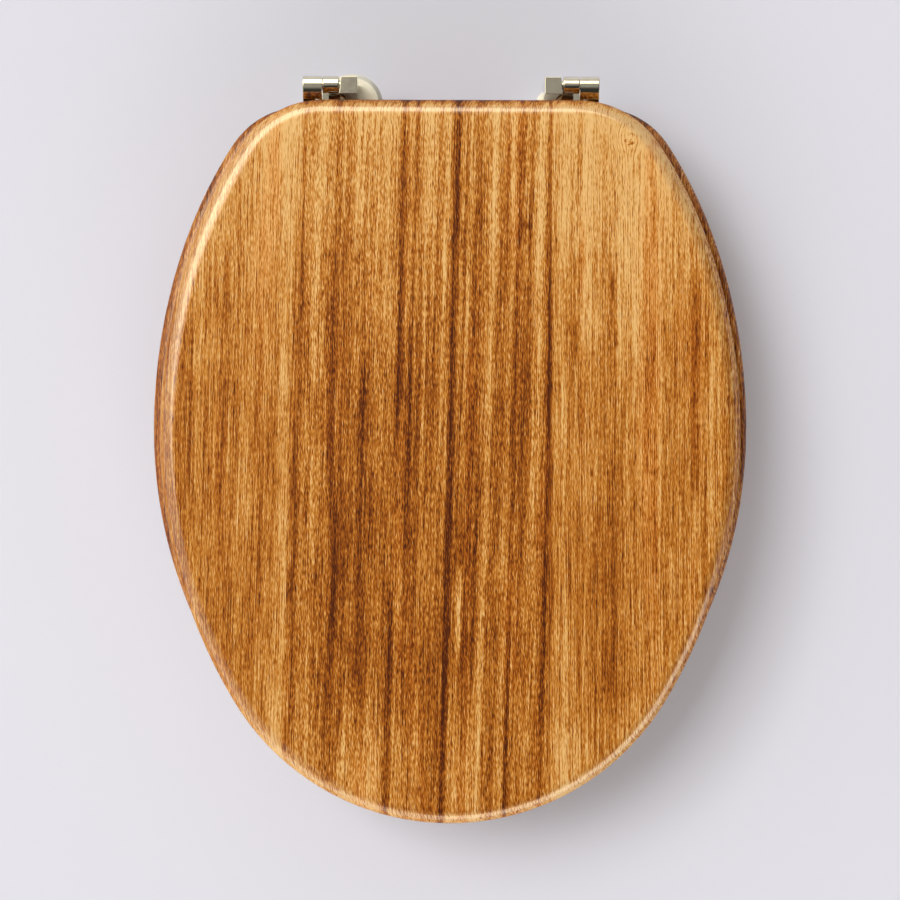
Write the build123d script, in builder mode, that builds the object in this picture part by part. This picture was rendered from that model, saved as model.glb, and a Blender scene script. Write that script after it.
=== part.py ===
"""Wooden toilet seat: a lid over a seat ring, on two plated hinges that bolt to the bowl.

The origin lies midway between the two mounting studs, on the plane of the bowl's rim.
+X runs to the right seen from the front, +Y to the rear, where the hinges are, and +Z up.
All sizes are in millimetres. The hinges are a mirrored pair, modelled on the right.
"""

import math
import os

from build123d import *

os.makedirs("parts", exist_ok=True)

# Mounting studs and the bowl that they clamp
stud_spacing = 145.0
stud_radius = 4.0
thread_radius = 3.6
bowl_thickness = 20.0
stud_drop = 62.0
stud_grip = 10.0
stud_end_chamfer = 1.0

# Heights of the stack, from the bowl's rim upwards
gasket_thickness = 1.5
disc_thickness = 4.0
seat_buffer_height = 12.0
seat_thickness = 17.0
lid_gap = 6.0
lid_thickness = 17.0

# Lid board
lid_width = 362.0
lid_length = 451.0
lid_widest = 208.0
lid_nose_radius = 157.0
lid_rear_width = 216.0
lid_corner = 60.0
lid_top_round = 10.5
lid_bottom_round = 3.0

# Seat ring and its opening
seat_width = 375.0
seat_length = 446.0
seat_widest = 204.0
seat_nose_radius = 157.0
seat_rear_width = 240.0
seat_corner = 52.0
seat_top_round = 7.0
seat_bottom_round = 4.0
opening_width = 220.0
opening_length = 281.0
opening_front_part = 164.0
front_rim = 65.0
opening_top_round = 9.0
opening_bottom_round = 4.0

# Hinge post: a square block beside a round boss that takes the stud
pin_setback = 3.8
pin_radius = 2.75
pin_wall = 1.8
knuckle_radius = 5.5
knuckle_end_round = 0.6
block_width = 11.2
block_taper = 1.0
block_front = 6.4
block_rear = 4.3
block_edge = 0.3
block_stud_offset = 8.2
boss_radius = 6.9
boss_height = 12.0
boss_edge = 1.5

# Hinge arms
seat_knuckle_width = 12.1
arm_plate = 2.5
arm_plate_corner = 6.0
lid_arm_neck = 3.8
lid_arm_width = 22.0
lid_arm_length = 46.0
seat_arm_width = 22.0
seat_arm_length = 46.0
seat_arm_leg = 3.4
seat_arm_bend = 3.0

# Eccentric base discs, each turned about its stud to its own angle, and their gaskets
disc_radius = 19.6
disc_offset = 10.0
disc_bevel_in = 2.6
disc_bevel_down = 1.8
disc_turn_left = -22.4
disc_turn_right = -94.6
gasket_inset = 1.0

# Wood screws
screw_head_radius = 3.8
screw_head_angle = 90.0
screw_radius = 2.0
screw_length = 14.0
screw_point = 4.0
screw_margin = 8.0
screw_edge = 2.5

# Buffers
seat_buffer_length = 36.0
seat_buffer_width = 15.0
seat_buffer_draft = 6.0
seat_buffer_round = 2.0
seat_buffer_front_angle = 60.0
seat_buffer_rear_angle = -35.0
lid_buffer_radius = 10.0
lid_buffer_round = 1.5
lid_buffer_angle = 50.0
buffer_stem_radius = 3.5
buffer_stem_length = 8.0

# Clamping stack under the bowl
cone_top_radius = 6.5
cone_radius = 12.5
cone_height = 10.0
cone_flange = 3.0
washer_radius = 13.0
washer_thickness = 1.6
nut_flange_radius = 12.0
nut_flange = 3.0
nut_hub_radius = 8.5
nut_height = 16.0
wing_span = 52.0
wing_thickness = 3.6
wing_drop = 9.0
wing_round = 3.0

# Clearances
running_gap = 0.3
pin_clearance = 0.05
fit_clearance = 0.02
hole_clearance = 0.4
boss_clearance = 1.4
seat_clearance = 1.5
leg_clearance = 0.6
lid_swing_clearance = 5.2
lid_rest_gap = 0.2
pin_below_lid = 1.0

# Heights that follow from the stack
disc_top = gasket_thickness + disc_thickness
seat_bottom = seat_buffer_height
seat_top = seat_bottom + seat_thickness
lid_bottom = seat_top + lid_gap
pin_z = lid_bottom - pin_below_lid
block_top = pin_z + knuckle_radius

# Places along the pin, on the right-hand hinge
stud_x = stud_spacing / 2
block_in = stud_x - block_stud_offset - block_width / 2
block_out = block_in + block_width
lid_knuckle_in = block_out + running_gap
seat_knuckle_in = stud_x + boss_radius + boss_clearance
lid_knuckle_out = seat_knuckle_in - running_gap
seat_knuckle_out = seat_knuckle_in + seat_knuckle_width
lid_arm_x = (lid_knuckle_in + lid_knuckle_out) / 2
seat_arm_x = (seat_knuckle_in + seat_knuckle_out) / 2

# Places from front to rear
pin_y = pin_setback
lid_rear = pin_y - knuckle_radius - lid_swing_clearance
lid_front = lid_rear - lid_length
seat_rear = -boss_radius - seat_clearance
seat_front = seat_rear - seat_length
lid_widest_y = lid_rear - lid_widest
seat_widest_y = seat_rear - seat_widest
opening_front = seat_front + front_rim
opening_widest_y = opening_front + opening_front_part
opening_rear_part = opening_length - opening_front_part
leg_front = seat_rear + leg_clearance
leg_rear = leg_front + seat_arm_leg
lid_pad_rear = lid_rear - lid_bottom_round
seat_pad_rear = seat_rear - seat_bottom_round


def ellipse_reach(half_width, depth, half_width_there):
    """Half axis of the ellipse that narrows from half_width to half_width_there over the depth."""
    return depth / math.sqrt(1 - (half_width_there / half_width) ** 2)


def board_outline(plane, width, widest_y, front_y, nose_radius, rear_y, rear_width, corner):
    """Plan of a board: round nose, side arcs tangent to it, elliptical flanks and a straight rear edge."""
    half, rear_half, depth = width / 2, rear_width / 2, rear_y - widest_y
    reach = ellipse_reach(half, depth, rear_half)
    corner_angle = math.degrees(math.asin(depth / reach))
    nose_y = front_y + nose_radius
    nose_drop, nose_margin = widest_y - nose_y, half - nose_radius
    side_offset = (nose_drop**2 - nose_margin**2) / (2 * nose_margin)
    side_angle = math.degrees(math.atan2(nose_drop, side_offset))
    with BuildSketch(plane) as outline:
        with BuildLine():
            CenterArc((0, nose_y), nose_radius, 180 + side_angle, 180 - 2 * side_angle)
            CenterArc((-side_offset, widest_y), half + side_offset, -side_angle, side_angle)
            EllipticalCenterArc((0, widest_y), half, reach, 0, arc_size=corner_angle)
            Line((rear_half, rear_y), (-rear_half, rear_y))
            EllipticalCenterArc((0, widest_y), half, reach, 180 - corner_angle, arc_size=corner_angle)
            CenterArc((side_offset, widest_y), half + side_offset, 180, side_angle)
        make_face()
        fillet(outline.vertices().group_by(Axis.Y)[-1], corner)
    return outline.sketch


def opening_outline(plane):
    """Plan of the seat's opening: two half ellipses that meet at its widest line."""
    half, centre = opening_width / 2, (0, opening_widest_y)
    with BuildSketch(plane) as outline:
        with BuildLine():
            EllipticalCenterArc(centre, half, opening_front_part, 180, arc_size=180)
            EllipticalCenterArc(centre, half, opening_rear_part, 0, arc_size=180)
        make_face()
    return outline.sketch


def rim_place(angle, sign):
    """Point midway across the seat's rim and the rim's heading there; positive angles lie in front."""
    turn = math.radians(angle)
    rear_reach = ellipse_reach(seat_width / 2, seat_widest, seat_rear_width / 2)
    outer = seat_widest_y - seat_front if angle > 0 else rear_reach
    inner = opening_front_part if angle > 0 else opening_rear_part
    across, along = (seat_width + opening_width) / 4, (outer + inner) / 2
    x = sign * across * math.cos(turn)
    y = (seat_widest_y + opening_widest_y) / 2 - along * math.sin(turn)
    heading = math.degrees(math.atan2(along * math.cos(turn), sign * across * math.sin(turn)))
    return x, y, heading


def screw_places(arm_x, pad_rear, width, length):
    """Three screws in an arm's pad: two across the rear and one at the front."""
    half = width / 2 - screw_head_radius - screw_edge
    rear_y, front_y = pad_rear - screw_margin, pad_rear - length + screw_margin
    return [(arm_x - half, rear_y), (arm_x + half, rear_y), (arm_x, front_y)]


def both_sides(places):
    """The places of the right-hand hinge and their mirror images."""
    return places + [(-x, y) for x, y in places]


def save(part, name):
    """Label a finished piece and write it under its name."""
    part.label = name
    export_step(part, f"parts/{name}.step")


def save_pair(right, name):
    """Write a right-hand piece and its mirror image."""
    with BuildPart() as left:
        mirror(right, about=Plane.YZ)
    save(right, f"{name}_right")
    save(left.part, f"{name}_left")


sides = {"left": -1, "right": 1}
lid_buffer_places = {side: rim_place(lid_buffer_angle, sign) for side, sign in sides.items()}
seat_buffer_places = {}
for side, sign in sides.items():
    seat_buffer_places[f"front_{side}"] = rim_place(seat_buffer_front_angle, sign)
    seat_buffer_places[f"rear_{side}"] = rim_place(seat_buffer_rear_angle, sign)
lid_screws = screw_places(lid_arm_x, lid_pad_rear, lid_arm_width, lid_arm_length)
seat_screws = screw_places(seat_arm_x, seat_pad_rear, seat_arm_width, seat_arm_length)
screw_head_height = (screw_head_radius - screw_radius) / math.tan(math.radians(screw_head_angle / 2))
pilot_radius = screw_radius + fit_clearance
pilot_depth = screw_length - arm_plate + hole_clearance
stem_hole_radius = buffer_stem_radius + fit_clearance
stem_hole_depth = buffer_stem_length + hole_clearance

# Lid: a board with a generous round on top, drilled from below for screws and buffers
with BuildPart() as lid:
    lid_plane = Plane.XY.offset(lid_bottom)
    extrude(
        board_outline(
            lid_plane,
            lid_width,
            lid_widest_y,
            lid_front,
            lid_nose_radius,
            lid_rear,
            lid_rear_width,
            lid_corner,
        ),
        amount=lid_thickness,
    )
    fillet(lid.faces().sort_by(Axis.Z)[-1].edges(), lid_top_round)
    fillet(lid.faces().sort_by(Axis.Z)[0].edges(), lid_bottom_round)
    with BuildSketch(lid_plane):
        with Locations(*both_sides(lid_screws)):
            Circle(pilot_radius)
    extrude(amount=pilot_depth, mode=Mode.SUBTRACT)
    with BuildSketch(lid_plane):
        with Locations(*[(x, y) for x, y, heading in lid_buffer_places.values()]):
            Circle(stem_hole_radius)
    extrude(amount=stem_hole_depth, mode=Mode.SUBTRACT)
save(lid.part, "lid")

# Seat ring: the same kind of board, a little wider, with the opening's edge rounded for comfort
with BuildPart() as seat_ring:
    seat_plane = Plane.XY.offset(seat_bottom)
    extrude(
        board_outline(
            seat_plane,
            seat_width,
            seat_widest_y,
            seat_front,
            seat_nose_radius,
            seat_rear,
            seat_rear_width,
            seat_corner,
        ),
        amount=seat_thickness,
    )
    fillet(seat_ring.faces().sort_by(Axis.Z)[-1].edges(), seat_top_round)
    fillet(seat_ring.faces().sort_by(Axis.Z)[0].edges(), seat_bottom_round)
    extrude(opening_outline(seat_plane), amount=seat_thickness, mode=Mode.SUBTRACT)
    fillet(seat_ring.faces().sort_by(Axis.Z)[-1].inner_wires().edges(), opening_top_round)
    fillet(seat_ring.faces().sort_by(Axis.Z)[0].inner_wires().edges(), opening_bottom_round)
    with BuildSketch(seat_plane):
        with Locations(*both_sides(seat_screws)):
            Circle(pilot_radius)
    extrude(amount=pilot_depth, mode=Mode.SUBTRACT)
    with BuildSketch(seat_plane):
        with Locations(*[(x, y) for x, y, heading in seat_buffer_places.values()]):
            Circle(stem_hole_radius)
    extrude(amount=stem_hole_depth, mode=Mode.SUBTRACT)
save(seat_ring.part, "seat_ring")

# Lid buffers: round pads that stop just short of the ring, with a stem in the lid
for side, (x, y, heading) in lid_buffer_places.items():
    with BuildPart() as lid_buffer:
        with BuildSketch(Plane((x, y, lid_bottom), z_dir=(0, 0, -1))):
            Circle(lid_buffer_radius)
        extrude(amount=lid_gap - lid_rest_gap)
        fillet(lid_buffer.edges().group_by(Axis.Z)[0], lid_buffer_round)
        with BuildSketch(Plane((x, y, lid_bottom))):
            Circle(buffer_stem_radius)
        extrude(amount=buffer_stem_length)
    save(lid_buffer.part, f"lid_buffer_{side}")

# Seat buffers: long pads along the rim that narrow towards the bowl, with a stem in the ring
for place, (x, y, heading) in seat_buffer_places.items():
    with BuildPart() as seat_buffer:
        pad_plane = Plane((x, y, seat_bottom), z_dir=(0, 0, -1)).rotated((0, 0, -heading))
        with BuildSketch(pad_plane):
            SlotOverall(seat_buffer_length, seat_buffer_width)
        extrude(amount=seat_buffer_height, taper=seat_buffer_draft)
        fillet(seat_buffer.edges().group_by(Axis.Z)[0], seat_buffer_round)
        with BuildSketch(Plane((x, y, seat_bottom))):
            Circle(buffer_stem_radius)
        extrude(amount=buffer_stem_length)
    save(seat_buffer.part, f"seat_buffer_{place}")

# Hinge post: a tapered block bored for the pin, grown together with a boss tapped for the stud
with BuildPart() as hinge_post:
    foot_plane = Plane.XY.offset(disc_top)
    with BuildSketch(foot_plane):
        with Locations((stud_x, 0)):
            Circle(boss_radius)
    extrude(amount=boss_height)
    fillet(hinge_post.faces().sort_by(Axis.Z)[-1].edges(), boss_edge)
    with BuildSketch(foot_plane):
        with BuildLine():
            Polyline(
                (block_in, pin_y + block_rear),
                (block_out - block_taper, pin_y + block_rear),
                (block_out, pin_y - block_front),
                (block_in, pin_y - block_front),
                close=True,
            )
        make_face()
    extrude(amount=block_top - disc_top)
    fillet(hinge_post.faces().sort_by(Axis.Z)[-1].edges(), block_edge)
    with BuildSketch(Plane.YZ.offset(block_in + pin_wall)):
        with Locations((pin_y, pin_z)):
            Circle(pin_radius + fit_clearance)
    extrude(amount=block_width, mode=Mode.SUBTRACT)
    with BuildSketch(foot_plane):
        with Locations((stud_x, 0)):
            Circle(thread_radius + fit_clearance)
    extrude(amount=stud_grip + hole_clearance, mode=Mode.SUBTRACT)
save_pair(hinge_post.part, "hinge_post")

# Hinge pin: pressed into the block, with both knuckles turning on its free end
with BuildPart() as hinge_pin:
    with BuildSketch(Plane.YZ.offset(block_in + pin_wall)):
        with Locations((pin_y, pin_z)):
            Circle(pin_radius)
    extrude(amount=seat_knuckle_out - pin_wall - running_gap - block_in - pin_wall)
    chamfer(hinge_pin.edges().group_by(Axis.X)[-1], knuckle_end_round)
save_pair(hinge_pin.part, "hinge_pin")

# Lid arm: the inner knuckle, a narrow neck and a pad screwed under the lid
with BuildPart() as lid_arm:
    with BuildSketch(Plane.YZ.offset(lid_knuckle_in)):
        with Locations((pin_y, pin_z)):
            Circle(knuckle_radius)
    extrude(amount=lid_knuckle_out - lid_knuckle_in)
    fillet(lid_arm.edges().filter_by(GeomType.CIRCLE), knuckle_end_round)
    lid_arm_plane = Plane.XY.offset(lid_bottom - arm_plate)
    with BuildSketch(lid_arm_plane):
        neck_length = pin_y - lid_pad_rear + arm_plate_corner
        with Locations((lid_knuckle_out - lid_arm_neck / 2, pin_y - neck_length / 2)):
            Rectangle(lid_arm_neck, neck_length)
        with Locations((lid_arm_x, lid_pad_rear - lid_arm_length / 2)):
            RectangleRounded(lid_arm_width, lid_arm_length, arm_plate_corner)
    extrude(amount=arm_plate)
    with BuildSketch(Plane.YZ.offset(lid_knuckle_in)):
        with Locations((pin_y, pin_z)):
            Circle(pin_radius + pin_clearance)
    extrude(amount=lid_knuckle_out - lid_knuckle_in, mode=Mode.SUBTRACT)
    with Locations(*[Plane((x, y, lid_bottom - arm_plate), z_dir=(0, 0, -1)) for x, y in lid_screws]):
        CounterSinkHole(pilot_radius, screw_head_radius + fit_clearance, arm_plate, screw_head_angle)
save_pair(lid_arm.part, "lid_arm")

# Seat arm: the closed outer knuckle, a gooseneck behind the ring and a pad screwed under the ring
with BuildPart() as seat_arm:
    seat_arm_bottom = seat_bottom - arm_plate
    shoulder_z = pin_z - knuckle_radius
    with BuildSketch(Plane.YZ.offset(seat_knuckle_in)) as gooseneck:
        with BuildLine():
            EllipticalCenterArc(
                (pin_y, shoulder_z), pin_y - leg_front, 2 * knuckle_radius, 90, arc_size=90
            )
            Polyline(
                (leg_front, shoulder_z),
                (leg_front, seat_bottom),
                (seat_pad_rear, seat_bottom),
                (seat_pad_rear, seat_arm_bottom),
                (leg_rear, seat_arm_bottom),
                (leg_rear, shoulder_z - seat_arm_leg),
                (pin_y, pin_z),
                (pin_y, pin_z + knuckle_radius),
            )
        make_face()
        fillet(gooseneck.vertices().group_by(Axis.Y)[2].sort_by(Axis.X)[-1], seat_arm_bend)
        with Locations((pin_y, pin_z)):
            Circle(knuckle_radius)
    extrude(amount=seat_knuckle_width)
    fillet(seat_arm.faces().sort_by(Axis.X)[-1].edges(), knuckle_end_round)
    with BuildSketch(Plane.XY.offset(seat_arm_bottom)):
        with Locations((seat_arm_x, seat_pad_rear - seat_arm_length / 2)):
            RectangleRounded(seat_arm_width, seat_arm_length, arm_plate_corner)
    extrude(amount=arm_plate)
    with BuildSketch(Plane.YZ.offset(seat_knuckle_in)):
        with Locations((pin_y, pin_z)):
            Circle(pin_radius + pin_clearance)
    extrude(amount=seat_knuckle_width - pin_wall, mode=Mode.SUBTRACT)
    with Locations(*[Plane((x, y, seat_arm_bottom), z_dir=(0, 0, -1)) for x, y in seat_screws]):
        CounterSinkHole(pilot_radius, screw_head_radius + fit_clearance, arm_plate, screw_head_angle)
save_pair(seat_arm.part, "seat_arm")

# Wood screw, point up, its head flush with the pad that it holds
with BuildPart() as screw:
    with BuildSketch(Plane.XZ):
        with BuildLine():
            Polyline(
                (0, 0),
                (screw_head_radius, 0),
                (screw_radius, screw_head_height),
                (screw_radius, screw_length - screw_point),
                (0, screw_length),
                close=True,
            )
        make_face()
    revolve(axis=Axis.Z)

with BuildPart() as lid_arm_screws:
    with Locations(*[(x, y, lid_bottom - arm_plate) for x, y in lid_screws]):
        add(screw.part)
save_pair(lid_arm_screws.part, "lid_arm_screws")

with BuildPart() as seat_arm_screws:
    with Locations(*[(x, y, seat_bottom - arm_plate) for x, y in seat_screws]):
        add(screw.part)
save_pair(seat_arm_screws.part, "seat_arm_screws")

# Base discs and gaskets: round, with the stud's hole off centre, so that turning them shifts them
for side, turn in (("left", disc_turn_left), ("right", disc_turn_right)):
    stud_place = (sides[side] * stud_x, 0)
    disc_x = stud_place[0] + disc_offset * math.cos(math.radians(turn))
    disc_y = disc_offset * math.sin(math.radians(turn))
    with BuildPart() as base_disc:
        with BuildSketch(Plane.XY.offset(gasket_thickness)):
            with Locations((disc_x, disc_y)):
                Circle(disc_radius)
            with Locations(stud_place):
                Circle(stud_radius + hole_clearance, mode=Mode.SUBTRACT)
        extrude(amount=disc_thickness)
        rim = base_disc.edges().filter_by(GeomType.CIRCLE).group_by(SortBy.RADIUS)[-1]
        chamfer(
            rim.sort_by(Axis.Z)[-1],
            disc_bevel_down,
            disc_bevel_in,
            reference=base_disc.faces().filter_by(GeomType.CYLINDER).sort_by(SortBy.AREA)[-1],
        )
    save(base_disc.part, f"base_disc_{side}")
    with BuildPart() as base_gasket:
        with BuildSketch():
            with Locations((disc_x, disc_y)):
                Circle(disc_radius - gasket_inset)
            with Locations(stud_place):
                Circle(stud_radius + hole_clearance, mode=Mode.SUBTRACT)
        extrude(amount=gasket_thickness)
    save(base_gasket.part, f"base_gasket_{side}")

# Mounting stud: threaded into the foot, plain through the bowl, threaded for the nut
with BuildPart() as mounting_stud:
    with BuildSketch():
        with Locations((stud_x, 0)):
            Circle(thread_radius)
    extrude(amount=disc_top + stud_grip)
    with BuildSketch(Plane.XY.offset(-bowl_thickness)):
        with Locations((stud_x, 0)):
            Circle(stud_radius)
    extrude(amount=bowl_thickness)
    with BuildSketch(Plane.XY.offset(-stud_drop)):
        with Locations((stud_x, 0)):
            Circle(thread_radius)
    extrude(amount=stud_drop - bowl_thickness)
    chamfer(mounting_stud.edges().group_by(Axis.Z)[0], stud_end_chamfer)
save_pair(mounting_stud.part, "mounting_stud")

# Cone washer: presses up into the bowl's hole and centres the stud in it
cone_base = -bowl_thickness - cone_height
cone_bottom = cone_base - cone_flange
with BuildPart() as cone_washer:
    with BuildSketch(Plane.XZ):
        with BuildLine():
            Polyline(
                (stud_x + thread_radius + fit_clearance, -bowl_thickness),
                (stud_x + cone_top_radius, -bowl_thickness),
                (stud_x + cone_radius, cone_base),
                (stud_x + washer_radius, cone_base),
                (stud_x + washer_radius, cone_bottom),
                (stud_x + thread_radius + fit_clearance, cone_bottom),
                close=True,
            )
        make_face()
    revolve(axis=Axis((stud_x, 0, 0), (0, 0, 1)))
save_pair(cone_washer.part, "cone_washer")

# Flat washer under the cone
washer_bottom = cone_bottom - washer_thickness
with BuildPart() as flat_washer:
    with BuildSketch(Plane.XY.offset(washer_bottom)):
        with Locations((stud_x, 0)):
            Circle(washer_radius)
            Circle(stud_radius, mode=Mode.SUBTRACT)
    extrude(amount=washer_thickness)
save_pair(flat_washer.part, "flat_washer")

# Wing nut: a flanged hub with two upright wings
nut_bottom = washer_bottom - nut_height
with BuildPart() as wing_nut:
    with BuildSketch(Plane.XY.offset(nut_bottom)):
        with Locations((stud_x, 0)):
            Circle(nut_hub_radius)
    extrude(amount=nut_height)
    with BuildSketch(Plane.XY.offset(washer_bottom - nut_flange)):
        with Locations((stud_x, 0)):
            Circle(nut_flange_radius)
    extrude(amount=nut_flange)
    with BuildSketch(Plane.XZ) as wings:
        with BuildLine():
            Polyline(
                (stud_x - nut_hub_radius / 2, washer_bottom - nut_flange),
                (stud_x + nut_hub_radius / 2, washer_bottom - nut_flange),
                (stud_x + wing_span / 2, nut_bottom + wing_drop / 2),
                (stud_x + wing_span / 2, nut_bottom - wing_drop),
                (stud_x + nut_flange_radius, nut_bottom - wing_drop),
                (stud_x + nut_hub_radius / 2, nut_bottom),
                (stud_x - nut_hub_radius / 2, nut_bottom),
                (stud_x - nut_flange_radius, nut_bottom - wing_drop),
                (stud_x - wing_span / 2, nut_bottom - wing_drop),
                (stud_x - wing_span / 2, nut_bottom + wing_drop / 2),
                close=True,
            )
        make_face()
        fillet(wings.vertices().group_by(Axis.X)[0], wing_round)
        fillet(wings.vertices().group_by(Axis.X)[-1], wing_round)
    extrude(amount=wing_thickness / 2, both=True)
    with BuildSketch(Plane.XY.offset(nut_bottom)):
        with Locations((stud_x, 0)):
            Circle(thread_radius + fit_clearance)
    extrude(amount=nut_height, mode=Mode.SUBTRACT)
save_pair(wing_nut.part, "wing_nut")
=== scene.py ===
"""Wooden toilet seat on plated hinges: the finish of every piece, the stud threads and screw heads,
and a plain studio seen from straight above. Lengths are in metres; grain patterns work in millimetres.
"""

import math

import bmesh
import bpy
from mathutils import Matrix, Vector


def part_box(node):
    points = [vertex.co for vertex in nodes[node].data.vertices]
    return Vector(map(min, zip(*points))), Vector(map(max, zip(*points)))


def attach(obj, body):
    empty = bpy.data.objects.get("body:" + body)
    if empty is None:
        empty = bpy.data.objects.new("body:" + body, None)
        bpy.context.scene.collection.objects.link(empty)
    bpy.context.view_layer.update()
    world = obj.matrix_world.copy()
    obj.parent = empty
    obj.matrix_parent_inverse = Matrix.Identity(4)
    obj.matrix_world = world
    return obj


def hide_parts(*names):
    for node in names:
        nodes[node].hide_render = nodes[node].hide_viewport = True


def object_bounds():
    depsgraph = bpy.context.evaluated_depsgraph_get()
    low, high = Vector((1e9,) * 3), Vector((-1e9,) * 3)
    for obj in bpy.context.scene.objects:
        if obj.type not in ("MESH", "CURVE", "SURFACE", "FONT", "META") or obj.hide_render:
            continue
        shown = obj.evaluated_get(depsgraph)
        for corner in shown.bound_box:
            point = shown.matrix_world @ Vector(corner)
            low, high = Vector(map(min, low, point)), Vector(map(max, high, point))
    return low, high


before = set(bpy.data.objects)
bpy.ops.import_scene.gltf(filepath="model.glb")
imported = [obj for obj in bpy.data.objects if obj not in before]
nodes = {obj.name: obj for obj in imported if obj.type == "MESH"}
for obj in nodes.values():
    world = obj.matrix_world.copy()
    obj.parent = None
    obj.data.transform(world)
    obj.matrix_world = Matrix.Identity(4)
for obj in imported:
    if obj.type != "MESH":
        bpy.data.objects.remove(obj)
cad_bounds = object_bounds()
sides = ("left", "right")
millimetre = 0.001


# Node helpers


def feed(tree, source, socket):
    """Link a socket from another one, or set it to a plain value."""
    if isinstance(source, bpy.types.NodeSocket):
        tree.links.new(source, socket)
    else:
        socket.default_value = source


def maths(tree, operation, *values):
    """One math node."""
    node = tree.nodes.new("ShaderNodeMath")
    node.operation = operation
    for value, socket in zip(values, node.inputs):
        feed(tree, value, socket)
    return node.outputs[0]


def add_all(tree, terms):
    """The sum of several values."""
    result = terms[0]
    for term in terms[1:]:
        result = maths(tree, "ADD", result, term)
    return result


def weigh(tree, terms):
    """The sum of (value, weight) pairs."""
    return add_all(tree, [maths(tree, "MULTIPLY", value, weight) for value, weight in terms])


def ease(tree, value, low, high, at_low=0.0, at_high=1.0):
    """A smooth step from at_low to at_high as the value goes from low to high."""
    node = tree.nodes.new("ShaderNodeMapRange")
    node.interpolation_type = "SMOOTHSTEP"
    settings = {"Value": value, "From Min": low, "From Max": high, "To Min": at_low, "To Max": at_high}
    for name, source in settings.items():
        feed(tree, source, node.inputs[name])
    return node.outputs["Result"]


def split(tree, vector):
    """The x, y and z of a vector."""
    node = tree.nodes.new("ShaderNodeSeparateXYZ")
    tree.links.new(vector, node.inputs[0])
    return node.outputs


def join(tree, x, y, z):
    """A vector from x, y and z."""
    node = tree.nodes.new("ShaderNodeCombineXYZ")
    for value, socket in zip((x, y, z), node.inputs):
        feed(tree, value, socket)
    return node.outputs[0]


def cells(tree, place, size, detail=2.0, roughness=0.5):
    """Soft noise with cells of the given size in millimetres, about -1 to 1."""
    scaled = tree.nodes.new("ShaderNodeVectorMath")
    scaled.operation = "DIVIDE"
    tree.links.new(place, scaled.inputs[0])
    scaled.inputs[1].default_value = size
    node = tree.nodes.new("ShaderNodeTexNoise")
    tree.links.new(scaled.outputs[0], node.inputs["Vector"])
    node.inputs["Scale"].default_value = 1.0
    node.inputs["Detail"].default_value = detail
    node.inputs["Roughness"].default_value = roughness
    return maths(tree, "MULTIPLY_ADD", node.outputs[0], 2.0, -1.0)


def colour_ramp(tree, value, stops):
    """A colour that follows a value through the given stops."""
    node = tree.nodes.new("ShaderNodeValToRGB")
    ramp = node.color_ramp
    for position, colour in stops[1:-1]:
        ramp.elements.new(position).color = (*colour, 1.0)
    for element, (position, colour) in zip((ramp.elements[0], ramp.elements[-1]), (stops[0], stops[-1])):
        element.position = position
        element.color = (*colour, 1.0)
    tree.links.new(value, node.inputs[0])
    return node.outputs["Color"]


def blend_colour(tree, factor, first, second, kind="MIX"):
    """A mix of two colours."""
    node = tree.nodes.new("ShaderNodeMix")
    node.data_type = "RGBA"
    node.blend_type = kind
    feed(tree, factor, node.inputs["Factor"])
    colours = [socket for socket in node.inputs if socket.type == "RGBA"]
    feed(tree, first, colours[0])
    feed(tree, second, colours[1])
    return [socket for socket in node.outputs if socket.type == "RGBA"][0]


def new_group(name, inputs, outputs):
    """An empty shader node group with named sockets; returns it with its input and output nodes."""
    group = bpy.data.node_groups.new(name, "ShaderNodeTree")
    for socket, kind, value in inputs:
        made = group.interface.new_socket(socket, in_out="INPUT", socket_type=kind)
        if value is not None:
            made.default_value = value
    for socket, kind in outputs:
        group.interface.new_socket(socket, in_out="OUTPUT", socket_type=kind)
    return group, group.nodes.new("NodeGroupInput").outputs, group.nodes.new("NodeGroupOutput").inputs


def place_group(tree, group, **values):
    """A copy of a group in a tree, with its inputs fed; an underscore stands for a space."""
    node = tree.nodes.new("ShaderNodeGroup")
    node.node_tree = group
    for name, value in values.items():
        feed(tree, value, node.inputs[name.replace("_", " ")])
    return node.outputs


def new_material(name, **constants):
    """A material with a Principled shader whose sockets hold plain values, named as for a group."""
    material = bpy.data.materials.new(name)
    material.use_nodes = True
    shader = material.node_tree.nodes["Principled BSDF"]
    for socket, value in constants.items():
        shader.inputs[socket.replace("_", " ")].default_value = value
    return material, material.node_tree, shader.inputs


def place_in_mm(tree, offset=(0.0, 0.0, 0.0)):
    """Object coordinates in millimetres, shifted by an offset."""
    coordinates = tree.nodes.new("ShaderNodeTexCoord")
    mapping = tree.nodes.new("ShaderNodeMapping")
    mapping.inputs["Scale"].default_value = (1 / millimetre,) * 3
    mapping.inputs["Location"].default_value = offset
    tree.links.new(coordinates.outputs["Object"], mapping.inputs["Vector"])
    return mapping.outputs[0]


def add_bump(tree, shader, height, distance, strength=1.0):
    """Raise a surface by a height map; distance is in metres."""
    bump = tree.nodes.new("ShaderNodeBump")
    bump.inputs["Strength"].default_value = strength
    bump.inputs["Distance"].default_value = distance
    tree.links.new(height, bump.inputs["Height"])
    tree.links.new(bump.outputs[0], shader["Normal"])


# Grain of the wood: cell sizes of each layer across, along and through the board, in millimetres

grain_cells = {
    "wander": (60, 240, 60),
    "waver": (16, 90, 20),
    "broad": (12, 1100, 40),
    "narrow": (3.2, 420, 14),
    "band": (1.9, 150, 8),
    "line": (0.46, 50, 3),
    "vessel": (0.44, 9, 3),
    "glint": (0.45, 12, 3),
    "fleck": (0.52, 3.0, 3),
    "fine": (0.42, 3.2, 2),
    "blotch": (26, 60, 30),
    "ruddy": (17, 260, 30),
}
# How far the grain strays across the board, in millimetres, and how it leans through it
wander_reach = 2.4
waver_reach = 0.35
through_lean = 0.35
fleck_slant = 0.07
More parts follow.
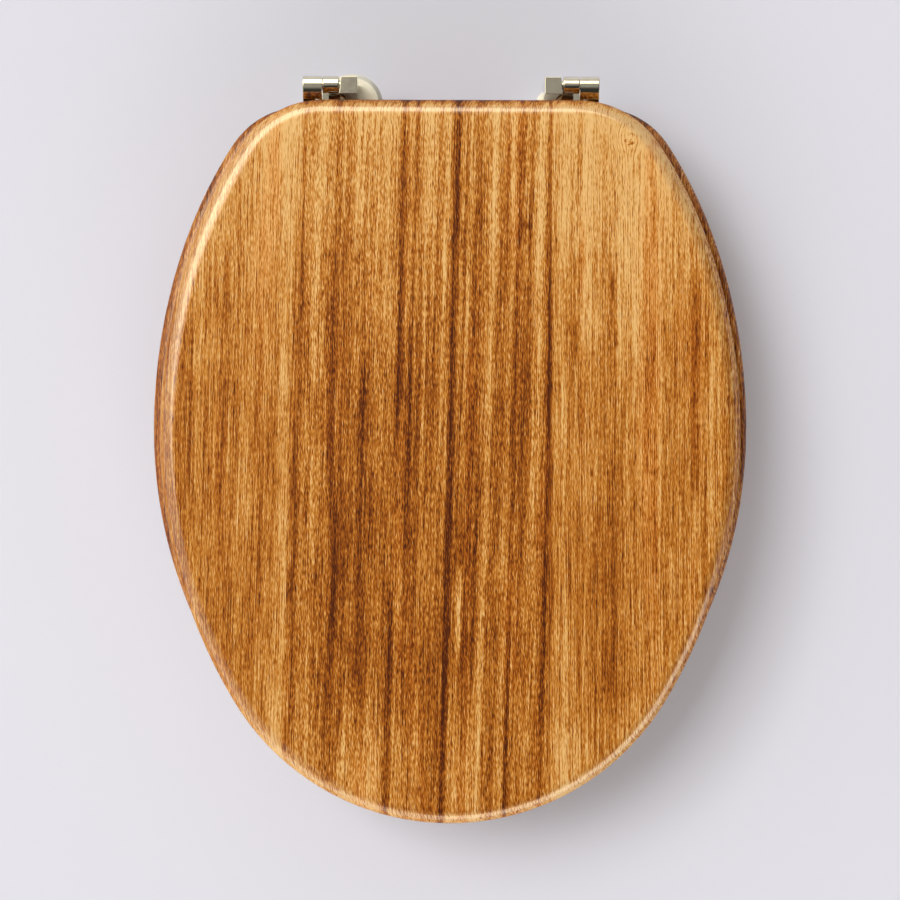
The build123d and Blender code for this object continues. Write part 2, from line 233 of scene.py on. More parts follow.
# Steps over a layer: from, to, and for some the value at each
vessel_step = (0.1, 0.5)
glint_step = (0.0, 0.4)
ruddy_step = (0.05, 0.5, 0.0, 0.6)
# Share of each layer in the tone, the gloss and the height of the wood
stripe_shares = {"broad": 0.5, "narrow": 0.42, "band": 0.3}
dash_shares = {"line": 0.5, "vessel": -0.3, "glint": 0.14, "fine": 0.34}
fleck_share = 0.52
blotch_share = 0.18
gloss_shares = {"fine": 0.05, "vessel": 0.1}
height_shares = {"line": 0.25, "fine": 0.2, "vessel": -0.7}
wood_roughness = 0.4
wood_relief = 0.03 * millimetre
wood_relief_strength = 0.5
# Tones of the wood from its darkest stripe to its palest, the palest greyed a little to carry a painted
# sheen, and a wash for its redder stretches
wood_tones = (
    (0.0, (0.065, 0.012, 0.002)),
    (0.22, (0.19, 0.042, 0.003)),
    (0.45, (0.4, 0.108, 0.006)),
    (0.7, (0.65, 0.27, 0.042)),
    (1.0, (0.88, 0.55, 0.215)),
)
red_wash = (1.02, 0.84, 0.68, 1.0)
# Cloudiness of metal, rubber and plastic, with cell sizes in millimetres
cloud_cells = (5, 5, 5)
grit_cells = (0.35, 0.35, 0.35)
cloud_step = (-0.6, 0.6)
# Metal and mouldings: brightness of the dark patches as a share, height and strength of the relief
metal_surface = {"dark_share": 0.9, "relief": 0.004 * millimetre, "strength": 0.3}
moulded_surface = {"dark_share": 0.88, "relief": 0.02 * millimetre, "strength": 0.5}
moulded_spread = 0.12
moulded_specular = 0.4
moulded_light_reach = (4 * millimetre, 3 * millimetre, 2 * millimetre)


# Shared effects


def make_board_figure():
    """Striped hardwood with its grain along Y: broad bands, narrow stripes, dashes and slanted flecks."""
    group, given, result = new_group(
        "board_figure",
        [
            ("Place", "NodeSocketVector", None),
            ("Lightness", "NodeSocketFloat", 0.5),
            ("Stripes", "NodeSocketFloat", 1.0),
            ("Dashes", "NodeSocketFloat", 1.0),
            ("Flecks", "NodeSocketFloat", 0.5),
        ],
        [("Color", "NodeSocketColor"), ("Roughness", "NodeSocketFloat"), ("Height", "NodeSocketFloat")],
    )

    def layer(place, name, *detail):
        """Noise of one grain layer."""
        return cells(group, place, grain_cells[name], *detail)

    def mixed(layers, shares):
        """Layers added up by their shares."""
        return weigh(group, [(layers[name], share) for name, share in shares.items()])

    place = given["Place"]
    x, y, z = split(group, place)
    drift = weigh(group, [
        (layer(place, "wander"), wander_reach),
        (layer(place, "waver"), waver_reach),
        (z, through_lean),
    ])
    across = maths(group, "ADD", x, drift)
    grain = join(group, across, y, z)
    slanted = join(group, maths(group, "MULTIPLY_ADD", y, fleck_slant, across), y, z)
    layers = {
        "broad": layer(grain, "broad"),
        "narrow": layer(grain, "narrow", 2.0, 0.6),
        "band": layer(grain, "band"),
        "line": layer(grain, "line", 1.0),
        "vessel": ease(group, layer(grain, "vessel", 0.0), *vessel_step),
        "glint": ease(group, layer(slanted, "glint", 0.0), *glint_step),
        "fine": layer(grain, "fine", 0.0),
    }
    flecks = maths(group, "MULTIPLY", layer(slanted, "fleck", 0.0), fleck_share)
    tone = add_all(group, [
        given["Lightness"],
        maths(group, "MULTIPLY", mixed(layers, stripe_shares), given["Stripes"]),
        maths(group, "MULTIPLY", mixed(layers, dash_shares), given["Dashes"]),
        maths(group, "MULTIPLY", flecks, given["Flecks"]),
        maths(group, "MULTIPLY", layer(place, "blotch"), blotch_share),
    ])
    wood = colour_ramp(group, tone, wood_tones)
    ruddy = ease(group, layer(grain, "ruddy"), *ruddy_step)
    reddened = blend_colour(group, 1.0, wood, red_wash, "MULTIPLY")
    group.links.new(blend_colour(group, ruddy, wood, reddened), result["Color"])
    group.links.new(maths(group, "ADD", mixed(layers, gloss_shares), wood_roughness), result["Roughness"])
    group.links.new(mixed(layers, height_shares), result["Height"])
    return group


def make_streak():
    """One soft streak along the grain, between two ends: its depth at a place."""
    group, given, result = new_group(
        "grain_streak",
        [
            ("Across", "NodeSocketFloat", 0.0),
            ("Along", "NodeSocketFloat", 0.0),
            ("Centre", "NodeSocketFloat", 0.0),
            ("Half Width", "NodeSocketFloat", 2.0),
            ("Front", "NodeSocketFloat", -500.0),
            ("Rear", "NodeSocketFloat", 50.0),
            ("Fade", "NodeSocketFloat", 20.0),
            ("Depth", "NodeSocketFloat", 0.2),
        ],
        [("Depth", "NodeSocketFloat")],
    )
    off = maths(group, "ABSOLUTE", maths(group, "SUBTRACT", given["Across"], given["Centre"]))
    side = ease(group, off, 0.0, given["Half Width"], 1.0, 0.0)
    front_end = maths(group, "ADD", given["Front"], given["Fade"])
    rear_end = maths(group, "SUBTRACT", given["Rear"], given["Fade"])
    front = ease(group, given["Along"], given["Front"], front_end)
    rear = ease(group, given["Along"], rear_end, given["Rear"], 1.0, 0.0)
    inside = maths(group, "MULTIPLY", front, rear)
    shape = maths(group, "MULTIPLY", side, inside)
    group.links.new(maths(group, "MULTIPLY", shape, given["Depth"]), result["Depth"])
    return group


def make_mottle():
    """Fine cloudy variation for metal, rubber and plastic, with a grainy height."""
    group, given, result = new_group(
        "mottle",
        [
            ("Place", "NodeSocketVector", None),
            ("Base", "NodeSocketFloat", 0.3),
            ("Spread", "NodeSocketFloat", 0.1),
        ],
        [("Roughness", "NodeSocketFloat"), ("Height", "NodeSocketFloat"), ("Shade", "NodeSocketFloat")],
    )
    cloud = cells(group, given["Place"], cloud_cells, 3.0)
    grit = cells(group, given["Place"], grit_cells, 2.0)
    spread = maths(group, "MULTIPLY", cloud, given["Spread"])
    group.links.new(maths(group, "ADD", spread, given["Base"]), result["Roughness"])
    group.links.new(grit, result["Height"])
    group.links.new(ease(group, cloud, *cloud_step), result["Shade"])
    return group


board_figure = make_board_figure()
grain_streak = make_streak()
mottle = make_mottle()

# Lacquer: steps over a face's normal, from, to, and the value at each; level is 1 on flats and 0 on sides

lacquer_polish = {"Coat_Roughness": 0.16, "Coat_IOR": 2.2, "Specular_IOR_Level": 0.1}
# Rear shade step: faces that look to the rear get darker, partly as end grain and partly as painted shade
# on the lid's rear wall
rear_shade_step = (0.5, 1.1, 0.0, -0.6)
# Front shade step: the round-overs that face the front get paler, a painted sheen
front_shade_step = (-0.7, -0.15, 0.25, 0.0)
rounded_step = (0.1, 0.5)
flat_step = (0.975, 0.9995)
lid_gloss = 1.0
ring_gloss = 0.4
flat_coat = 0.03
side_coat_step = (0.63, 0.78, 0.02, 1.0)
rear_coat_step = (0.42, 0.56, 1.0, 0.1)

# Lid timber: three boards edge to edge; x and y in millimetres, x where a line crosses the lid's mid length

lid_joint_left = -95.5
lid_joint_right = 61.5
joint_blur = 0.3
lid_mid_length = -225.0
grain_lean = 0.024
board_shift = 37.0
# Figure of the lid: its value on the outer boards, and the middle board's change
lid_figure = {
    "Lightness": (0.57, -0.11),
    "Stripes": (0.45, 0.2),
    "Dashes": (1.0, -0.1),
    "Flecks": (0.25, 0.45),
}
# Paler stretches of the lid: from y, to y, and the change of lightness at each; a painted sheen towards the
# rear, a painted highlight just inside the rear edge, and paler wood towards the front end
lid_sheen_and_pale_steps = (
    (-200.0, -30.0, 0.0, 0.26),
    (-44.0, -12.0, 0.0, 0.14),
    (-440.0, -360.0, 0.16, 0.0),
)
# Streaks of the lid: centre x, half width, front y, rear y, fade, depth; a negative depth is lighter
streak_wander_cells = (70, 150, 60)
lid_streaks = (
    (-161.5, 2.4, -262, -136, 24, 0.24),
    (-142.5, 2.6, -340, -80, 60, 0.08),
    (-134.4, 1.5, -192, -181, 4, 0.4),
    (-134.1, 1.4, -206, -196, 4, 0.26),
    (-126.5, 3.0, -270, -140, 40, -0.16),
    (-116.5, 2.6, -340, -210, 50, 0.2),
    (-101.5, 3.4, -500, 60, 60, -0.1),
    (-97.2, 2.6, -418, -382, 14, 0.26),
    (-97.0, 2.4, -322, -294, 8, 0.24),
    (-95.0, 2.8, -340, 60, 70, 0.2),
    (-85.0, 3.6, -340, 60, 40, 0.08),
    (-82.5, 2.6, -500, -290, 40, 0.2),
    (-73.5, 2.8, -300, 60, 60, 0.26),
    (-69.5, 2.4, -350, -220, 40, 0.18),
    (-61.5, 3.0, -500, 60, 60, -0.1),
    (-54.5, 2.6, -400, -150, 60, 0.2),
    (-50.0, 42.0, -420, -190, 80, 0.12),
    (-43.5, 3.2, -500, 60, 60, -0.12),
    (-34.3, 4.0, -500, -280, 50, 0.36),
    (-33.0, 3.8, -240, 60, 60, 0.48),
    (-28.0, 10.0, -320, -130, 60, 0.15),
    (-26.0, 2.4, -420, 60, 60, 0.2),
    (-24.4, 2.6, -120, 60, 50, 0.24),
    (-17.5, 3.0, -500, 60, 60, -0.22),
    (-13.5, 2.4, -350, -240, 40, -0.18),
    (-11.0, 2.6, -240, 60, 60, 0.2),
    (-6.5, 2.2, -270, 60, 50, -0.14),
    (-6.5, 8.5, -500, -350, 50, 0.22),
    (-6.0, 2.6, -390, -240, 40, 0.2),
    (-2.0, 3.4, -200, 60, 70, 0.22),
    (0.2, 3.4, -500, 60, 40, 0.4),
    (8.5, 2.6, -362, -290, 16, -0.4),
    (9.0, 3.0, -300, 60, 60, -0.18),
    (13.0, 38.0, -150, 60, 60, 0.09),
    (14.0, 13.0, -500, -370, 50, -0.14),
    (17.0, 2.6, -420, -190, 80, 0.22),
    (23.0, 3.4, -500, 60, 60, -0.2),
    (28.5, 2.6, -330, 60, 80, 0.12),
    (34.5, 2.6, -120, 60, 60, -0.16),
    (39.5, 3.0, -500, 60, 60, 0.26),
    (40.0, 1.8, -500, -300, 60, 0.22),
    (41.5, 6.0, -100, -74, 10, 0.22),
    (45.5, 2.6, -340, 60, 60, 0.1),
    (52.0, 4.6, -340, 60, 60, -0.2),
    (57.6, 3.0, -150, 60, 40, 0.36),
    (59.4, 2.6, -220, -100, 40, 0.24),
    (61.0, 3.2, -500, 60, 20, 0.34),
    (61.5, 2.6, -240, 60, 60, 0.26),
    (71.0, 5.0, -500, 60, 60, -0.17),
    (77.5, 2.6, -176, -138, 12, 0.26),
    (80.0, 3.0, -420, 60, 60, 0.16),
    (100.0, 50.0, -420, -240, 50, 0.05),
    (100.5, 1.7, -136, -112, 8, 0.3),
    (102.0, 3.0, -420, -70, 60, 0.14),
    (102.5, 1.7, -164, -148, 6, 0.34),
    (116.5, 2.4, -62, -38, 8, 0.24),
    (120.0, 70.0, -330, 60, 130, -0.08),
    (151.5, 5.6, -285, -85, 40, 0.26),
    (161.0, 3.4, -290, -140, 40, -0.18),
)
# Knot of the lid, in millimetres; its pull is a share of the distance across the grain
knot_place = (110.4, -32.0)
knot_radius = 3.4
knot_core_reach = 1.8 * knot_radius
knot_reach = 4 * knot_radius
knot_pull = -0.55
knot_rag = 2.2
knot_rag_cells = (3, 3, 3)
knot_ring_width = 1.1
knot_ring_shade = -0.16
knot_speckle_cells = (2.3, 2.3, 2.3)
knot_speckle_step = (0.0, 0.4, 0.08, -0.36)
# Ring timber: another part of the tree, made darker than the lid's wood as a painted shade under the lid's
# overhang
ring_offset = (310.0, 140.0, 55.0)
ring_shaded_lightness = 0.45
ring_stripes = 0.8
ring_flecks = 0.5


def lacquered(name, gloss):
    """A new lacquered wood, satin but polished on its round edges, and its painted edge light: darker end
    grain with painted shade on faces that look to the rear, and a painted sheen on the front round-overs.
    """
    material, tree, shader = new_material(name, **lacquer_polish)
    slope = split(tree, tree.nodes.new("ShaderNodeTexCoord").outputs["Normal"])
    to_rear = slope[1]
    level = maths(tree, "ABSOLUTE", slope[2])
    # Darker end grain and painted shade on faces that look to the rear
    end_grain_and_shade = ease(tree, to_rear, *rear_shade_step)
    rounded = ease(tree, level, *rounded_step)
    # Painted sheen: front-facing round-overs made paler
    painted_front_sheen = maths(tree, "MULTIPLY", ease(tree, to_rear, *front_shade_step), rounded)
    edge_shade = maths(tree, "ADD", end_grain_and_shade, painted_front_sheen)
    off_flat = ease(tree, level, *flat_step, gloss, flat_coat)
    off_side = ease(tree, level, *side_coat_step)
    off_rear = ease(tree, to_rear, *rear_coat_step)
    off_steep = maths(tree, "MULTIPLY", off_side, off_rear)
    tree.links.new(maths(tree, "MULTIPLY", off_flat, off_steep), shader["Coat Weight"])
    return material, tree, shader, edge_shade


def show_figure(tree, shader, figure):
    """Give a shader the colour, the gloss and the relief of a board."""
    tree.links.new(figure["Color"], shader["Base Color"])
    tree.links.new(figure["Roughness"], shader["Roughness"])
    add_bump(tree, shader, figure["Height"], wood_relief, wood_relief_strength)


def find_boards(tree, place):
    """Boards of the lid: x along the leaning grain, a mask of the middle board and the board's number."""
    x, y = split(tree, place)[:2]
    on_right = ease(tree, x, lid_joint_right - joint_blur, lid_joint_right + joint_blur)
    lean = maths(tree, "MULTIPLY_ADD", on_right, grain_lean, -grain_lean)
    leaning = maths(tree, "MULTIPLY_ADD", maths(tree, "SUBTRACT", y, lid_mid_length), lean, x)
    past_left = ease(tree, leaning, lid_joint_left - joint_blur, lid_joint_left + joint_blur)
    middle = maths(tree, "SUBTRACT", past_left, on_right)
    number = maths(tree, "ADD", past_left, on_right)
    return leaning, middle, number


def add_streaks(tree, place, leaning):
    """All the streaks of the lid: how much darker they make a place."""
    across = maths(tree, "ADD", cells(tree, place, streak_wander_cells), leaning)
    along = split(tree, place)[1]
    depths = []
    for centre, half_width, front, rear, fade, depth in lid_streaks:
        streak = place_group(
            tree, grain_streak, Across=across, Along=along, Centre=centre, Half_Width=half_width,
            Front=front, Rear=rear, Fade=fade, Depth=depth,
        )
        depths.append(streak["Depth"])
    return add_all(tree, depths)


def add_knot(tree, place):
    """The knot of the lid: its shade, and how far it bends the grain sideways."""
    x, y = split(tree, place)[:2]
    distance = tree.nodes.new("ShaderNodeVectorMath")
    distance.operation = "DISTANCE"
    tree.links.new(join(tree, x, y, 0.0), distance.inputs[0])
    distance.inputs[1].default_value = (*knot_place, 0.0)
    from_knot = distance.outputs["Value"]
    pull = ease(tree, from_knot, knot_radius, knot_reach, knot_pull, 0.0)
    bend = maths(tree, "MULTIPLY", maths(tree, "SUBTRACT", x, knot_place[0]), pull)
    ragged = maths(tree, "MULTIPLY_ADD", cells(tree, place, knot_rag_cells), knot_rag, from_knot)
    off_ring = maths(tree, "ABSOLUTE", maths(tree, "SUBTRACT", ragged, knot_radius))
    ring = ease(tree, off_ring, 0.0, knot_ring_width, knot_ring_shade, 0.0)
    near = ease(tree, from_knot, knot_radius, knot_core_reach, 1.0, 0.0)
    speckle = ease(tree, cells(tree, place, knot_speckle_cells, 1.0), *knot_speckle_step)
    shade = maths(tree, "MULTIPLY_ADD", speckle, near, ring)
    return shade, bend


def lid_timber():
    """Wood of the lid: three boards, each with its own figure, many marked streaks and a knot, with a
    painted sheen and a painted highlight towards the rear edge.
    """
    material, tree, shader, edge_shade = lacquered("lid_timber", lid_gloss)
    place = place_in_mm(tree)
    y, z = split(tree, place)[1:]
    leaning, middle, number = find_boards(tree, place)
    knot_shade, knot_bend = add_knot(tree, place)
    streaks = add_streaks(tree, place, leaning)
    values = {}
    for name, (outer, change) in lid_figure.items():
        values[name] = maths(tree, "MULTIPLY_ADD", middle, change, outer)
    # Painted sheen towards the rear, painted highlight inside the rear edge, paler wood at the front end
    sheen_and_pale_stretches = [ease(tree, y, *step) for step in lid_sheen_and_pale_steps]
    paler = add_all(tree, [values["Lightness"], *sheen_and_pale_stretches, knot_shade, edge_shade])
    values["Lightness"] = maths(tree, "SUBTRACT", paler, streaks)
    across = maths(tree, "ADD", leaning, knot_bend)
    along = maths(tree, "MULTIPLY_ADD", number, board_shift, y)
    show_figure(tree, shader, place_group(tree, board_figure, Place=join(tree, across, along, z), **values))
    return material


def ring_timber():
    """The same lacquered wood on the seat ring, from another part of the tree, darker than the lid's as a
    painted shade.
    """
    material, tree, shader, edge_shade = lacquered("ring_timber", ring_gloss)
    # Darker lightness than the lid: painted shade
    figure = place_group(
        tree, board_figure, Place=place_in_mm(tree, ring_offset),
        Lightness=maths(tree, "ADD", edge_shade, ring_shaded_lightness), Stripes=ring_stripes, Flecks=ring_flecks,
    )
    show_figure(tree, shader, figure)
    return material


def show_mottle(tree, shader, cloud, colour, dark_share, relief, strength):
    """Give a shader a cloudy colour, gloss and relief; its dark patches have a share of the colour."""
    dark = tuple(dark_share * part for part in colour)
    colour_mix = blend_colour(tree, cloud["Shade"], (*dark, 1.0), (*colour, 1.0))
    tree.links.new(colour_mix, shader["Base Color"])
    tree.links.new(cloud["Roughness"], shader["Roughness"])
    add_bump(tree, shader, cloud["Height"], relief, strength)


def plated_metal(name, colour, roughness, spread, metallic=1.0):
    """Plated metal with a faint cloudiness in its gloss."""
    material, tree, shader = new_material(name, Metallic=metallic)
    cloud = place_group(tree, mottle, Place=place_in_mm(tree), Base=roughness, Spread=spread)
    show_mottle(tree, shader, cloud, colour, **metal_surface)
    return material


def moulded(name, colour, roughness, subsurface=0.0):
    """Moulded rubber or plastic with a fine matt grain; some of it lets a little light in."""
    material, tree, shader = new_material(
        name, Subsurface_Weight=subsurface, Subsurface_Radius=moulded_light_reach,
        Specular_IOR_Level=moulded_specular,
    )
    cloud = place_group(tree, mottle, Place=place_in_mm(tree), Base=roughness, Spread=moulded_spread)
    show_mottle(tree, shader, cloud, colour, **moulded_surface)
    return material


finishes = {
    "polished_nickel": plated_metal("polished_nickel", (0.80, 0.76, 0.65), 0.085, 0.03),
    "satin_nickel": plated_metal("satin_nickel", (0.80, 0.785, 0.71), 0.42, 0.06, 0.4),
    "zinc_steel": plated_metal("zinc_steel", (0.66, 0.66, 0.65), 0.27, 0.1),
    "black_rubber": moulded("black_rubber", (0.028, 0.028, 0.029), 0.7),
    "buffer_plastic": moulded("buffer_plastic", (0.78, 0.765, 0.71), 0.5, 0.1),
    "natural_nylon": moulded("natural_nylon", (0.84, 0.825, 0.77), 0.38, 0.25),
    "lid_timber": lid_timber(),
    "ring_timber": ring_timber(),
}
node_finishes = {
    "lid": "lid_timber",
    "seat_ring": "ring_timber",
    "base_disc": "satin_nickel",
    "hinge_post": "polished_nickel",
    "lid_arm": "polished_nickel",
    "seat_arm": "polished_nickel",
    "hinge_pin": "zinc_steel",
    "mounting_stud": "zinc_steel",
    "flat_washer": "zinc_steel",
    "lid_arm_screws": "zinc_steel",
    "seat_arm_screws": "zinc_steel",
    "base_gasket": "black_rubber",
    "cone_washer": "black_rubber",
    "lid_buffer": "buffer_plastic",
    "seat_buffer_front": "buffer_plastic",
    "seat_buffer_rear": "buffer_plastic",
    "wing_nut": "natural_nylon",
}


def dress(piece, finish):
    """Give a piece one finish all over."""
    piece.data.materials.clear()
    piece.data.materials.append(finishes[finish])


for name, node in nodes.items():
    kind = name.removesuffix("_left").removesuffix("_right")
    dress(node, node_finishes[kind])

# Threaded studs and screws, made over their plain solids

thread_pitch = 1.25 * millimetre
thread_radius = 3.6 * millimetre
thread_depth = 0.55 * millimetre
thread_steps = 24
stud_chamfer = 1.0 * millimetre
shank_radius = 4.0 * millimetre
shank_top = 0.0
shank_bottom = -20.0 * millimetre
round_steps = 32
screw_head_radius = 3.8 * millimetre
screw_radius = 2.0 * millimetre
screw_length = 14.0 * millimetre
screw_point = 4.0 * millimetre
recess_length = 4.6 * millimetre
recess_width = 1.1 * millimetre
recess_depth = 1.3 * millimetre
recess_taper = 0.5
merge_distance = 0.01 * millimetre


def new_piece(name, mesh):
    """An object at the origin for a finished mesh."""
    piece = bpy.data.objects.new(name, mesh)
    bpy.context.scene.collection.objects.link(piece)
    return piece


def spin_profile(form, points, centre, steps, rise=0.0):
    """Turn a profile of (radius, height) points about an upright axis, rising by a length per turn."""
    corners = [form.verts.new((centre[0] + radius, centre[1], height)) for radius, height in points]
    edges = [form.edges.new(pair) for pair in zip(corners, corners[1:])]
    bmesh.ops.spin(
        form,
        geom=corners + edges,
        cent=(*centre, 0.0),
        axis=(0.0, 0.0, 1.0),
        dvec=(0.0, 0.0, rise / steps),
        angle=math.tau,
        steps=steps,
        use_merge=rise == 0.0,
    )
    bmesh.ops.remove_doubles(form, verts=form.verts, dist=merge_distance)


def tidy_normals(form):
    """Point every face outwards."""
    bmesh.ops.recalc_face_normals(form, faces=form.faces)


def make_thread(form, centre, bottom, top):
    """A screw thread between two heights, with its ends cut square and filled."""
    turns = math.ceil((top - bottom) / thread_pitch) + 2
    points = []
    for turn in range(turns):
        height = bottom + (turn - 1.5) * thread_pitch
        points.append((thread_radius, height))
        points.append((thread_radius - thread_depth, height + thread_pitch / 2))
    spin_profile(form, points, centre, thread_steps, thread_pitch)
    for height, side in ((bottom, -1), (top, 1)):
        cut = bmesh.ops.bisect_plane(
            form,
            geom=form.verts[:] + form.edges[:] + form.faces[:],
            plane_co=(0.0, 0.0, height),
            plane_no=(0.0, 0.0, side),
            clear_outer=True,
        )
        rim = [item for item in cut["geom_cut"] if isinstance(item, bmesh.types.BMEdge)]
        bmesh.ops.edgeloop_fill(form, edges=rim)
    for corner in form.verts:
        off = Vector((corner.co.x - centre[0], corner.co.y - centre[1]))
        limit = thread_radius - stud_chamfer + corner.co.z - bottom
        if off.length > limit:
            off *= limit / off.length
            corner.co.x, corner.co.y = centre[0] + off.x, centre[1] + off.y


def make_stud(side):
    """A mounting stud: threaded below the bowl, plain through it, plain again inside the boss."""
    low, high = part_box(f"mounting_stud_{side}")
    centre = ((low[0] + high[0]) / 2, (low[1] + high[1]) / 2)
    mesh = bpy.data.meshes.new(f"stud_{side}")
    form = bmesh.new()
    make_thread(form, centre, low[2], shank_bottom)
    profile = [
        (0.0, shank_bottom),
        (shank_radius, shank_bottom),
        (shank_radius, shank_top),
        (thread_radius, shank_top),
        (thread_radius, high[2]),
        (0.0, high[2]),
    ]
    spin_profile(form, profile, centre, round_steps)
    tidy_normals(form)
    form.to_mesh(mesh)
    form.free()
    stud = new_piece(f"threaded_stud_{side}", mesh)
    dress(stud, "zinc_steel")
    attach(stud, "hinge_mounts")
    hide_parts(f"mounting_stud_{side}")


def make_recessed_screw():
    """The mesh of one wood screw, point up at the origin, with a cross recess in its head."""
    profile = [
        (0.0, 0.0),
        (screw_head_radius, 0.0),
        (screw_radius, screw_head_radius - screw_radius),
        (screw_radius, screw_length - screw_point),
        (0.0, screw_length),
    ]
    body_mesh = bpy.data.meshes.new("screw_body")
    form = bmesh.new()
    spin_profile(form, profile, (0.0, 0.0), round_steps)
    tidy_normals(form)
    form.to_mesh(body_mesh)
    form.free()
    cutter_mesh = bpy.data.meshes.new("recess_cutter")
    form = bmesh.new()
    for span in ((recess_length, recess_width), (recess_width, recess_length)):
        bar = bmesh.ops.create_cube(form, size=1.0)["verts"]
        bmesh.ops.scale(form, vec=(*span, 2 * recess_depth), verts=bar)
        tip = [corner for corner in bar if corner.co.z > 0]
        bmesh.ops.scale(form, vec=(recess_taper, recess_taper, 1.0), verts=tip)
    form.to_mesh(cutter_mesh)
    form.free()
    body, cutter = new_piece("screw_body", body_mesh), new_piece("recess_cutter", cutter_mesh)
    cut = body.modifiers.new("recess", "BOOLEAN")
    cut.operation = "DIFFERENCE"
    cut.solver = "EXACT"
    cut.use_self = True
    cut.object = cutter
    depsgraph = bpy.context.evaluated_depsgraph_get()
    screw_mesh = bpy.data.meshes.new_from_object(body.evaluated_get(depsgraph))
    bpy.data.objects.remove(body)
    bpy.data.objects.remove(cutter)
    return screw_mesh


def make_screw_set(screw_mesh, node, body):
    """The three screws of one arm: two across the rear of its pad and one at the front."""
    low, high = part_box(node)
    left, right = low[0] + screw_head_radius, high[0] - screw_head_radius
    front, rear = low[1] + screw_head_radius, high[1] - screw_head_radius
    mesh = bpy.data.meshes.new(f"recessed_{node}")
    form = bmesh.new()
    for place in ((left, rear), (right, rear), ((left + right) / 2, front)):
        before = set(form.verts)
        form.from_mesh(screw_mesh)
        added = [corner for corner in form.verts if corner not in before]
        bmesh.ops.translate(form, verts=added, vec=(*place, low[2]))
    form.to_mesh(mesh)
    form.free()
    screws = new_piece(f"recessed_{node}", mesh)
    dress(screws, "zinc_steel")
    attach(screws, body)
    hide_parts(node)


recessed_screw = make_recessed_screw()
for side in sides:
    make_stud(side)
    make_screw_set(recessed_screw, f"lid_arm_screws_{side}", "lid")
    make_screw_set(recessed_screw, f"seat_arm_screws_{side}", "seat")

# Studio: a pale floor under the stud ends, soft panels all round and the camera overhead

floor_gap = 0.0006
floor_size = 30.0
floor_colour = (0.82, 0.83, 0.925, 1.0)
camera_place = (0.0, -0.2252, 1.350)
camera_lens = 83.9
camera_sensor = 36.0
camera_roll = 0.165
panel_distance = 10.0
# Panels: tilt from overhead, heading in degrees anticlockwise from the right, breadth, height, radiance
lamp_panels = {
    "key": (28.0, 150.0, 4.4, 4.4, 7.7),
    "front_fill": (55.0, 270.0, 10.0, 5.0, 2.05),
}
gleam_panels = {
    "rear_gleam": (40.0, 127.0, 11.5, 9.8, 2.7),
    "side_gleam": (64.0, 158.0, 4.2, 5.6, 0.8),
    "front_gleam": (72.0, 304.0, 14.0, 5.5, 0.9),
}
gleam_tint = (1.0, 0.89, 0.62)
room_dark = 0.04
room_middle = 0.36
room_bright = 0.7
room_horizon = 0.5
room_front = 0.85
room_tint = (1.0, 0.94, 0.83, 1.0)
# Room light: steps over a direction, from, to, and the value at each; facing is 1 at the rear left
dark_side_step = (-0.3, -0.05, room_dark - room_middle, 0.0)
bright_side_step = (0.2, 0.5, 0.0, room_bright - room_middle)
horizon_step = (0.15, 0.55, room_horizon, 0.0)
horizon_right_step = (0.2, 0.6, 1.0, 0.06)
front_wall_step = (-0.38, -0.12, room_front, 0.0)
front_wall_top_step = (0.42, 0.62, 1.0, 0.0)


def make_floor():
    """A level floor just below the lowest piece."""
    mesh = bpy.data.meshes.new("floor")
    form = bmesh.new()
    bmesh.ops.create_grid(form, x_segments=1, y_segments=1, size=floor_size / 2)
    bmesh.ops.translate(form, verts=form.verts, vec=(0, 0, cad_bounds[0][2] - floor_gap))
    form.to_mesh(mesh)
    form.free()
    floor = new_piece("floor", mesh)
    paint = new_material("floor_paint", Base_Color=floor_colour, Roughness=0.9, Specular_IOR_Level=0.1)
    mesh.materials.append(paint[0])


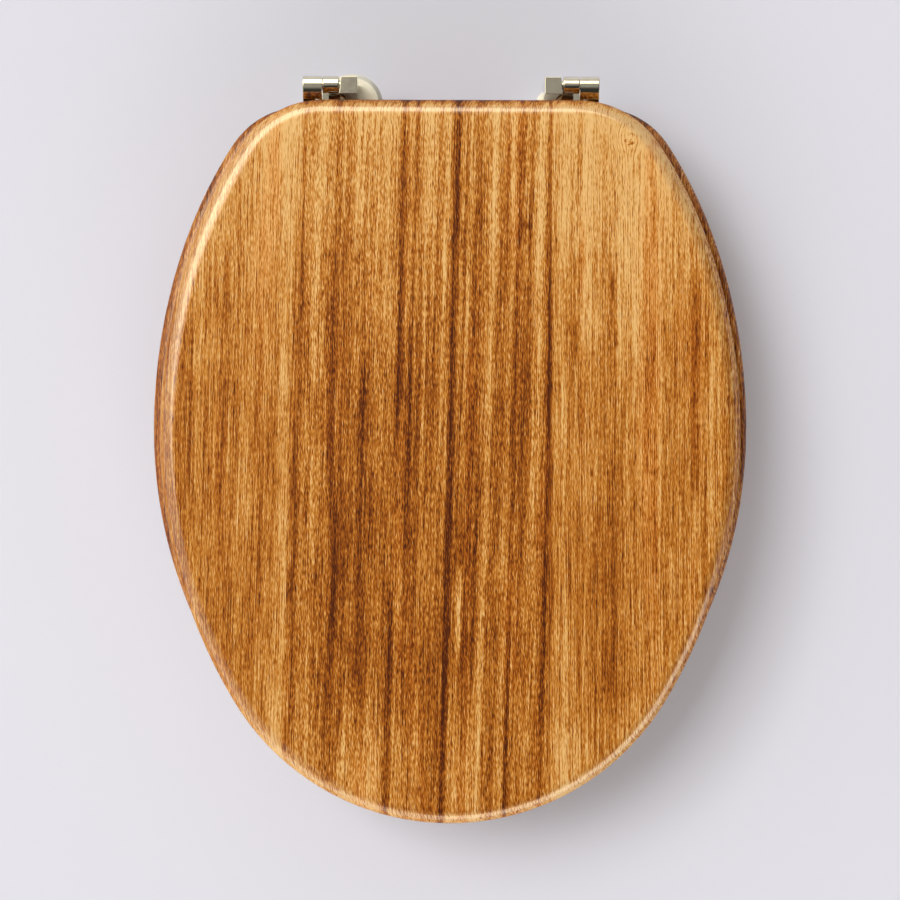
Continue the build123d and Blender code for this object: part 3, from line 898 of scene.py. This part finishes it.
def make_panel(name, tilt, heading, breadth, height, radiance):
    """A soft rectangular lamp of even brightness, aimed at the middle of the lid."""
    lamp = bpy.data.lights.new(name, "AREA")
    lamp.shape = "RECTANGLE"
    lamp.size = breadth
    lamp.size_y = height
    lamp.energy = radiance * math.pi * breadth * height
    tilt_angle, turn = math.radians(tilt), math.radians(heading)
    level = math.sin(tilt_angle)
    towards = Vector((level * math.cos(turn), level * math.sin(turn), math.cos(tilt_angle)))
    panel = bpy.data.objects.new(name, lamp)
    panel.location = Vector((camera_place[0], camera_place[1], 0.0)) + panel_distance * towards
    panel.rotation_euler = towards.to_track_quat("Z", "Y").to_euler()
    bpy.context.scene.collection.objects.link(panel)
    return panel


def make_panels():
    """Lamps that light the object, and warm panels that show only as gleams in lacquer and metal."""
    for name, values in lamp_panels.items():
        make_panel(name, *values).visible_glossy = False
    for name, values in gleam_panels.items():
        gleam = make_panel(name, *values)
        gleam.data.color = gleam_tint
        gleam.visible_diffuse = False


def make_room():
    """World light: bright at the rear left, dark at the front right, with a pale horizon except at the
    right and a pale front wall up to mid height.
    """
    world = bpy.data.worlds.new("room")
    world.use_nodes = True
    tree = world.node_tree
    direction = tree.nodes.new("ShaderNodeTexCoord").outputs["Generated"]
    x, y, z = split(tree, direction)
    facing = weigh(tree, [(x, -math.sqrt(0.5)), (y, math.sqrt(0.5))])
    dark_side = ease(tree, facing, *dark_side_step)
    bright_side = ease(tree, facing, *bright_side_step)
    overhead = add_all(tree, [dark_side, bright_side, room_middle])
    low = ease(tree, z, *horizon_step)
    horizon = maths(tree, "MULTIPLY", low, ease(tree, x, *horizon_right_step))
    front_wall = ease(tree, y, *front_wall_step)
    front = maths(tree, "MULTIPLY", front_wall, ease(tree, z, *front_wall_top_step))
    strength = maths(tree, "MAXIMUM", maths(tree, "MAXIMUM", overhead, horizon), front)
    background = tree.nodes["Background"]
    background.inputs["Color"].default_value = room_tint
    tree.links.new(strength, background.inputs["Strength"])
    bpy.context.scene.world = world


def make_camera():
    """A long lens straight above, turned a touch."""
    scene = bpy.context.scene
    scene.view_settings.view_transform = "Standard"
    camera = bpy.data.objects.new("camera", bpy.data.cameras.new("camera"))
    camera.data.lens = camera_lens
    camera.data.sensor_width = camera_sensor
    camera.location = camera_place
    camera.rotation_euler = (0.0, 0.0, math.radians(camera_roll))
    scene.collection.objects.link(camera)
    scene.camera = camera


make_floor()
make_panels()
make_room()
make_camera()
